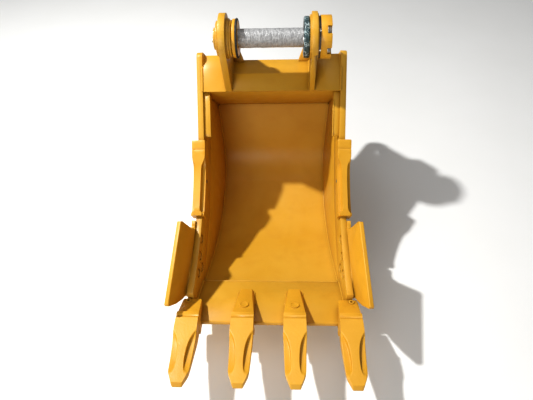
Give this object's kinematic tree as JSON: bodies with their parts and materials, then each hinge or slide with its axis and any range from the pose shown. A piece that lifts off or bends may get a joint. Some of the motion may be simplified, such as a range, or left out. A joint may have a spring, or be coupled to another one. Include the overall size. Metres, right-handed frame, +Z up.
{
  "type": "excavator bucket",
  "caption": "Digging bucket with toothed lip, bolted side cutters and two ears that take a stick pin and a link pin; it scoops, carries and dumps loose ground.",
  "frame": {"origin": "below the middle of the bounding box, on the ground that the wear strips touch", "axes": "+X across the bucket along the pin axes, towards the adjuster's ear; the teeth point towards -Y; +Z up"},
  "size_m": [0.7224, 1.402, 0.9316],
  "materials": {
    "yellow_paint": "satin",
    "cast_tooth": "satin",
    "pin_steel": "satin",
    "bare_steel": "matte",
    "fastener_steel": "satin",
    "seal_rubber": "matte"
  },
  "bodies": {
    "bucket": {"lip_plate": "yellow_paint", "floor_plate": "yellow_paint", "heel_plate": "yellow_paint", "roof_plate": "yellow_paint", "tube_centre": "yellow_paint", "tube_outer_left": "yellow_paint", "tube_outer_right": "yellow_paint", "tube_rear": "yellow_paint", "side_plate_left": "yellow_paint", "side_plate_right": "yellow_paint", "side_bar_left": "yellow_paint", "side_bar_right": "yellow_paint", "corner_gusset_left": "yellow_paint", "corner_gusset_right": "yellow_paint", "wear_strips_middle": "yellow_paint", "wear_strips_outer": "yellow_paint", "heel_guard_left": "yellow_paint", "heel_guard_right": "yellow_paint", "ear_left": "yellow_paint", "ear_right": "yellow_paint", "ear_gusset_left": "yellow_paint", "ear_gusset_right": "yellow_paint", "stick_boss_left": "yellow_paint", "stick_boss_right": "yellow_paint", "link_boss_left": "yellow_paint", "link_boss_right": "yellow_paint", "stick_bushing": "bare_steel", "link_bushing_left": "bare_steel", "link_bushing_right": "bare_steel", "thrust_ring": "yellow_paint", "o_ring_left": "seal_rubber", "seal_ring_right": "seal_rubber", "adjuster_shims": "bare_steel", "adjuster_hub": "yellow_paint", "adjuster_bolts": "fastener_steel", "adapter_1": "yellow_paint", "adapter_2": "yellow_paint", "adapter_3": "yellow_paint", "adapter_4": "yellow_paint", "tip_1": "cast_tooth", "tip_2": "cast_tooth", "tip_3": "cast_tooth", "tip_4": "cast_tooth", "tooth_pins": "bare_steel", "tooth_pin_retainers": "bare_steel", "corner_plugs": "bare_steel", "side_cutter_left": "yellow_paint", "side_cutter_right": "yellow_paint", "cutter_bolts_left": "fastener_steel", "cutter_bolts_right": "fastener_steel", "cutter_nuts_left": "fastener_steel", "cutter_nuts_right": "fastener_steel", "protector_left": "yellow_paint", "protector_right": "yellow_paint", "protector_pins": "bare_steel"},
    "pin": {"stick_pin": "pin_steel", "pin_cap": "yellow_paint", "pin_cap_screws": "fastener_steel", "grease_fitting": "bare_steel"},
    "adjuster": {"adjuster_sleeve": "bare_steel"}
  },
  "joints": [
    {"name": "stick_pin_slide", "type": "slide", "parent": "bucket", "child": "pin", "axis": [-1, 0, 0], "range_m": [0, 0.45]},
    {"name": "side_play_slide", "type": "slide", "parent": "bucket", "child": "adjuster", "axis": [-1, 0, 0], "range_m": [0, 0.006]}
  ]
}
